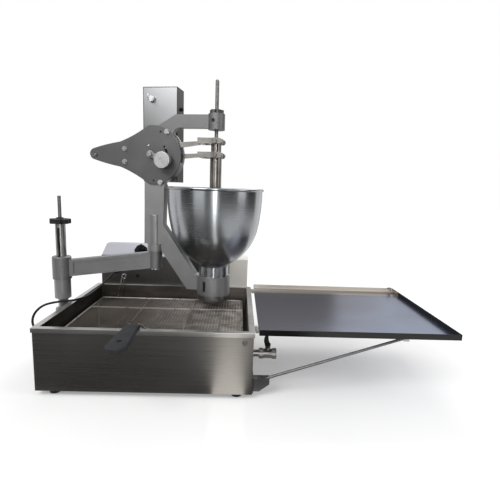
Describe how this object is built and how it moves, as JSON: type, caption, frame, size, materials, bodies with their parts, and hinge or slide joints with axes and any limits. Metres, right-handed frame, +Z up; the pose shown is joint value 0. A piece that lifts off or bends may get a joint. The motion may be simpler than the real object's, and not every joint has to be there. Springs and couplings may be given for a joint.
{
  "type": "donut maker",
  "caption": "Counter-top donut fryer: stainless oil tank with fry screen and hinged tray lid, and a swing-arm depositor with a batter hopper, cam levers and plunger.",
  "frame": {"origin": "on the floor plane, under the middle of the bounding box of the whole machine with its lid open", "axes": "+X to the operator's right towards the open lid, +Y to the back, +Z up"},
  "size_m": [1.2486, 0.761, 0.919],
  "materials": {
    "tank_steel": "brushed",
    "rim_steel": "satin",
    "pan_steel": "satin",
    "foot_rubber": "matte",
    "nickel": "polished",
    "black_plastic": "matte",
    "panel_steel": "brushed",
    "device_plastic": "matte",
    "element_steel": "oxidised",
    "casting": "satin cast",
    "post_steel": "ground",
    "polished": "polished",
    "cover_casting": "satin cast",
    "hopper_steel": "spun",
    "turned_aluminium": "turned",
    "lever_steel": "polished",
    "motor_paint": "satin",
    "wire_steel": "bright wire",
    "grip_rubber": "matte",
    "lid_steel": "bright sheet",
    "strut_steel": "satin",
    "lead_rubber": "matte"
  },
  "bodies": {
    "fryer": {"tank_shell": "tank_steel", "tank_rim": "rim_steel", "fry_pan": "pan_steel", "feet": "foot_rubber", "drain_nipple": "nickel", "valve_body": "nickel", "control_housing": "panel_steel", "control_back": "panel_steel", "thermostat": "device_plastic", "heating_elements": "element_steel", "terminal_block": "device_plastic", "contactor": "device_plastic", "post_bracket": "casting", "post_tube": "post_steel", "post_sleeve": "casting", "tank_hinges": "rim_steel", "strut_bracket": "strut_steel", "lead_glands": "black_plastic", "control_lead": "lead_rubber"},
    "valve": {"valve_ball": "nickel", "valve_lever": "black_plastic"},
    "thermostat_dial": {"thermostat_dial": "black_plastic"},
    "lid": {"lid_pan": "lid_steel", "lid_hinges": "rim_steel", "hinge_pins": "polished", "strut_eye": "rim_steel"},
    "strut": {"lid_strut": "strut_steel"},
    "screen": {"screen_frame": "wire_steel", "screen_hook": "wire_steel", "screen_mesh": "wire_steel", "grip_wires": "wire_steel", "screen_grip": "grip_rubber"},
    "lift": {"lift_carrier": "polished", "lift_rod": "polished"},
    "lift_knob": {"lift_knob": "black_plastic"},
    "arm": {"swing_arm": "casting"},
    "depositor": {"depositor_frame": "casting", "pivot_pin": "polished", "cover_plate": "cover_casting", "cover_bolts": "polished", "lever_pin": "polished", "gate_pin": "polished", "hopper": "hopper_steel", "nozzle": "rim_steel", "drive_front": "panel_steel", "drive_box": "panel_steel", "gear_motor": "motor_paint"},
    "gate": {"ring_gate": "casting"},
    "crank": {"cam_shaft": "polished", "crank_arm": "casting", "crank_knob": "turned_aluminium"},
    "upper_lever": {"upper_lever": "lever_steel"},
    "lower_lever": {"lower_lever": "lever_steel"},
    "plunger": {"plunger": "polished"},
    "cutter": {"cutter": "polished"},
    "former": {"former": "polished"},
    "adjust_knob": {"adjust_knob": "lever_steel"},
    "stop_button": {"stop_button": "black_plastic"},
    "start_button": {"start_button": "black_plastic"},
    "speed_dial": {"speed_dial": "turned_aluminium"}
  },
  "joints": [
    {"name": "lift_slide", "type": "slide", "parent": "fryer", "child": "lift", "axis": [0, 0, 1], "range_m": [0, 0.055]},
    {"name": "lift_knob_turn", "type": "hinge", "parent": "fryer", "child": "lift_knob", "pos_m": [-0.59025, 0.0685, 0.195], "axis": [0, 0, 1], "range_deg": [0, 6600]},
    {"name": "arm_swing", "type": "hinge", "parent": "lift", "child": "arm", "pos_m": [-0.59025, 0.0685, 0.195], "axis": [0, 0, 1], "range_deg": [-25, 6]},
    {"name": "depositor_swivel", "type": "hinge", "parent": "arm", "child": "depositor", "pos_m": [-0.2863, 0.11827, 0.195], "axis": [0, 0, 1], "range_deg": [-18, 4]},
    {"name": "crank_turn", "type": "hinge", "parent": "depositor", "child": "crank", "pos_m": [-0.29318, 0.11957, 0.682], "axis": [0.1857, 0.9826, 0], "range_deg": [0, 180]},
    {"name": "upper_lever_rock", "type": "hinge", "parent": "depositor", "child": "upper_lever", "pos_m": [-0.49068, 0.15689, 0.68], "axis": [-0.1857, -0.9826, 0], "range_deg": [0, 2.85]},
    {"name": "lower_lever_rock", "type": "hinge", "parent": "depositor", "child": "lower_lever", "pos_m": [-0.49068, 0.15689, 0.68], "axis": [-0.1857, -0.9826, 0], "range_deg": [0, 1.71]},
    {"name": "plunger_slide", "type": "slide", "parent": "depositor", "child": "plunger", "axis": [0, 0, 1], "range_m": [0, 0.0208]},
    {"name": "cutter_slide", "type": "slide", "parent": "depositor", "child": "cutter", "axis": [0, 0, 1], "range_m": [0, 0.01248]},
    {"name": "former_slide", "type": "slide", "parent": "depositor", "child": "former", "axis": [0, 0, 1], "range_m": [-0.008, 0.008]},
    {"name": "adjust_knob_turn", "type": "hinge", "parent": "depositor", "child": "adjust_knob", "pos_m": [-0.07995, 0.07928, 0.195], "axis": [0, 0, 1], "range_deg": [-1645.72, 1645.72]},
    {"name": "gate_swing", "type": "hinge", "parent": "depositor", "child": "gate", "pos_m": [-0.05253, 0.13822, 0.195], "axis": [0, 0, 1], "range_deg": [0, 90]},
    {"name": "lid_swing", "type": "hinge", "parent": "fryer", "child": "lid", "pos_m": [0.06175, -0.2315, 0.19], "axis": [0, -1, 0], "range_deg": [0, 75]},
    {"name": "strut_fold", "type": "hinge", "parent": "lid", "child": "strut", "pos_m": [0.47975, -0.2015, 0.181], "axis": [0, 1, 0], "range_deg": [0, 17]},
    {"name": "valve_turn", "type": "hinge", "parent": "fryer", "child": "valve", "pos_m": [0.10375, -0.0815, 0.073], "axis": [0, 0, 1], "range_deg": [0, 90]},
    {"name": "thermostat_turn", "type": "hinge", "parent": "fryer", "child": "thermostat_dial", "pos_m": [-0.38425, 0.301, 0.3225], "axis": [0, -0.5145, 0.8575], "range_deg": [0, 270]},
    {"name": "speed_turn", "type": "hinge", "parent": "depositor", "child": "speed_dial", "pos_m": [-0.30595, 0.12199, 0.867], "axis": [-0.1857, -0.9826, 0], "range_deg": [0, 270]},
    {"name": "stop_press", "type": "slide", "parent": "depositor", "child": "stop_button", "axis": [-0.9826, 0.1857, 0], "range_m": [0, 0.003], "stiffness_N_per_m": 400, "springref_m": -0.001},
    {"name": "start_press", "type": "slide", "parent": "depositor", "child": "start_button", "axis": [-0.9826, 0.1857, 0], "range_m": [0, 0.003], "stiffness_N_per_m": 400, "springref_m": -0.001},
    {"name": "screen_lift", "type": "slide", "parent": "fryer", "child": "screen", "axis": [0, 0, 1], "range_m": [0, 0.035]}
  ],
  "couplings": [
    {"joint": "lift_knob_turn", "follows": "lift_slide", "rad_per_m": 2094.4},
    {"joint": "upper_lever_rock", "follows": "crank_turn", "ratio": 0.015836},
    {"joint": "lower_lever_rock", "follows": "crank_turn", "ratio": 0.0095018},
    {"joint": "plunger_slide", "follows": "crank_turn", "m_per_rad": 0.0066196},
    {"joint": "cutter_slide", "follows": "crank_turn", "m_per_rad": 0.0039717},
    {"joint": "adjust_knob_turn", "follows": "former_slide", "rad_per_m": 3590.4}
  ]
}
